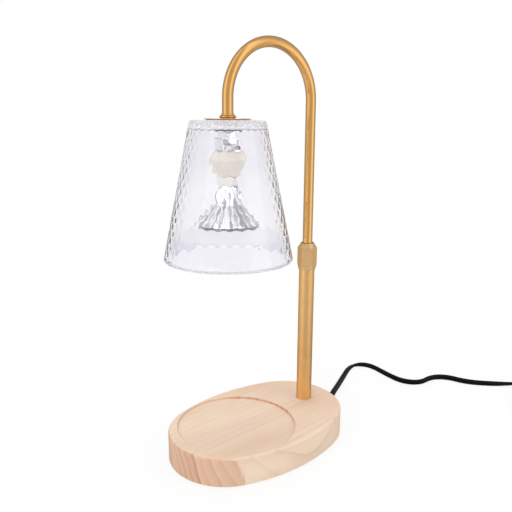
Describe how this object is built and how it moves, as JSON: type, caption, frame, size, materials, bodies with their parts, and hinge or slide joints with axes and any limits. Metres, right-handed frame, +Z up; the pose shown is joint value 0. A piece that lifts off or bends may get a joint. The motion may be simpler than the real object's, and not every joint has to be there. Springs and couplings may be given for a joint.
{
  "type": "candle warmer lamp",
  "caption": "Table lamp that melts a candle from above: oval wooden base, telescoping gooseneck, conical pressed-glass shade, spotlight bulb, and a lead with a thumbwheel dimmer and plug.",
  "frame": {"origin": "on the floor under the middle of the base, at the bottom of the foot pad", "axes": "+Z up along the pole, +X from the middle of the base towards the pole, so the shade hangs on the -X side; the lead leaves the base's +X end"},
  "size_m": [0.5028, 0.2962, 0.3976],
  "materials": {
    "rubberwood": "pale rubberwood, matt oil, fine straight grain along the base",
    "foot_foam": "dark soft foam or rubber sheet",
    "gold_tube": "steel tube with a satin champagne-gold coat",
    "gold_brass": "turned brass with a matt gold coat",
    "zinc_steel": "bright zinc plate",
    "white_nylon": "natural nylon",
    "pressed_glass": "clear pressed glass with a diamond relief, fire polished",
    "pink_bush": "translucent moulded plastic",
    "steatite": "unglazed cream steatite ceramic",
    "silvered_glass": "pressed glass dish silvered by vapour, faceted inside",
    "lens_glass": "clear pressed glass",
    "contact_brass": "plain rolled brass",
    "lead_sleeve": "heat-proof silicone sleeve",
    "black_pvc": "black PVC, slight sheen",
    "black_abs": "black ABS, fine spark texture"
  },
  "bodies": {
    "stand": {"wooden_base": "rubberwood", "foot_pad": "foot_foam", "lower_tube": "gold_tube", "tube_plug": "zinc_steel", "pole_stud": "zinc_steel", "pole_washer": "zinc_steel", "pole_nut": "zinc_steel", "clamp_socket": "gold_brass", "supply_leads": "lead_sleeve", "splice_caps": "white_nylon", "stand_leads": "lead_sleeve", "cord_boot": "black_pvc", "cord_lead": "black_pvc", "cord_link": "black_pvc", "cord_coil": "black_pvc", "cord_tail": "black_pvc", "dimmer_bottom": "black_abs", "dimmer_top": "black_abs", "dimmer_screws": "zinc_steel", "plug_body": "black_pvc", "plug_blades": "contact_brass"},
    "grip": {"grip_ring": "white_nylon"},
    "collar": {"lock_collar": "gold_brass"},
    "arm": {"upper_tube": "gold_tube", "stop_ring": "white_nylon", "glass_shade": "pressed_glass", "centre_bush": "pink_bush", "top_gasket": "foot_foam", "cap_disc": "gold_brass", "tube_ferrule": "gold_brass", "threaded_nipple": "zinc_steel", "soft_washer": "foot_foam", "steel_washer": "zinc_steel", "clamp_nut": "zinc_steel", "lock_nut": "zinc_steel", "holder_bracket": "zinc_steel", "bracket_screws": "zinc_steel", "lamp_holder": "steatite", "contact_plates": "contact_brass", "arm_leads": "lead_sleeve"},
    "bulb": {"bulb_base": "steatite", "bulb_pins": "zinc_steel", "reflector": "silvered_glass", "bulb_lens": "lens_glass", "halogen_capsule": "lens_glass"},
    "wheel": {"dimmer_wheel": "black_abs"}
  },
  "joints": [
    {"name": "arm_swivel", "type": "hinge", "parent": "stand", "child": "grip", "pos_m": [0.0649, 0, 0.18], "axis": [0, 0, 1], "range_deg": [-90, 90]},
    {"name": "height_slide", "type": "slide", "parent": "grip", "child": "arm", "axis": [0, 0, 1], "range_m": [-0.06, 0.045]},
    {"name": "collar_turn", "type": "hinge", "parent": "stand", "child": "collar", "pos_m": [0.0649, 0, 0.187], "axis": [0, 0, 1], "range_deg": [0, 270]},
    {"name": "bulb_twist", "type": "hinge", "parent": "arm", "child": "bulb", "pos_m": [-0.0365, 0, 0.27], "axis": [0, 0, -1], "range_deg": [0, 30]},
    {"name": "dimmer_turn", "type": "hinge", "parent": "stand", "child": "wheel", "pos_m": [0.37512, -0.1461, 0.008], "axis": [0, 0, 1], "range_deg": [0, 270]}
  ]
}
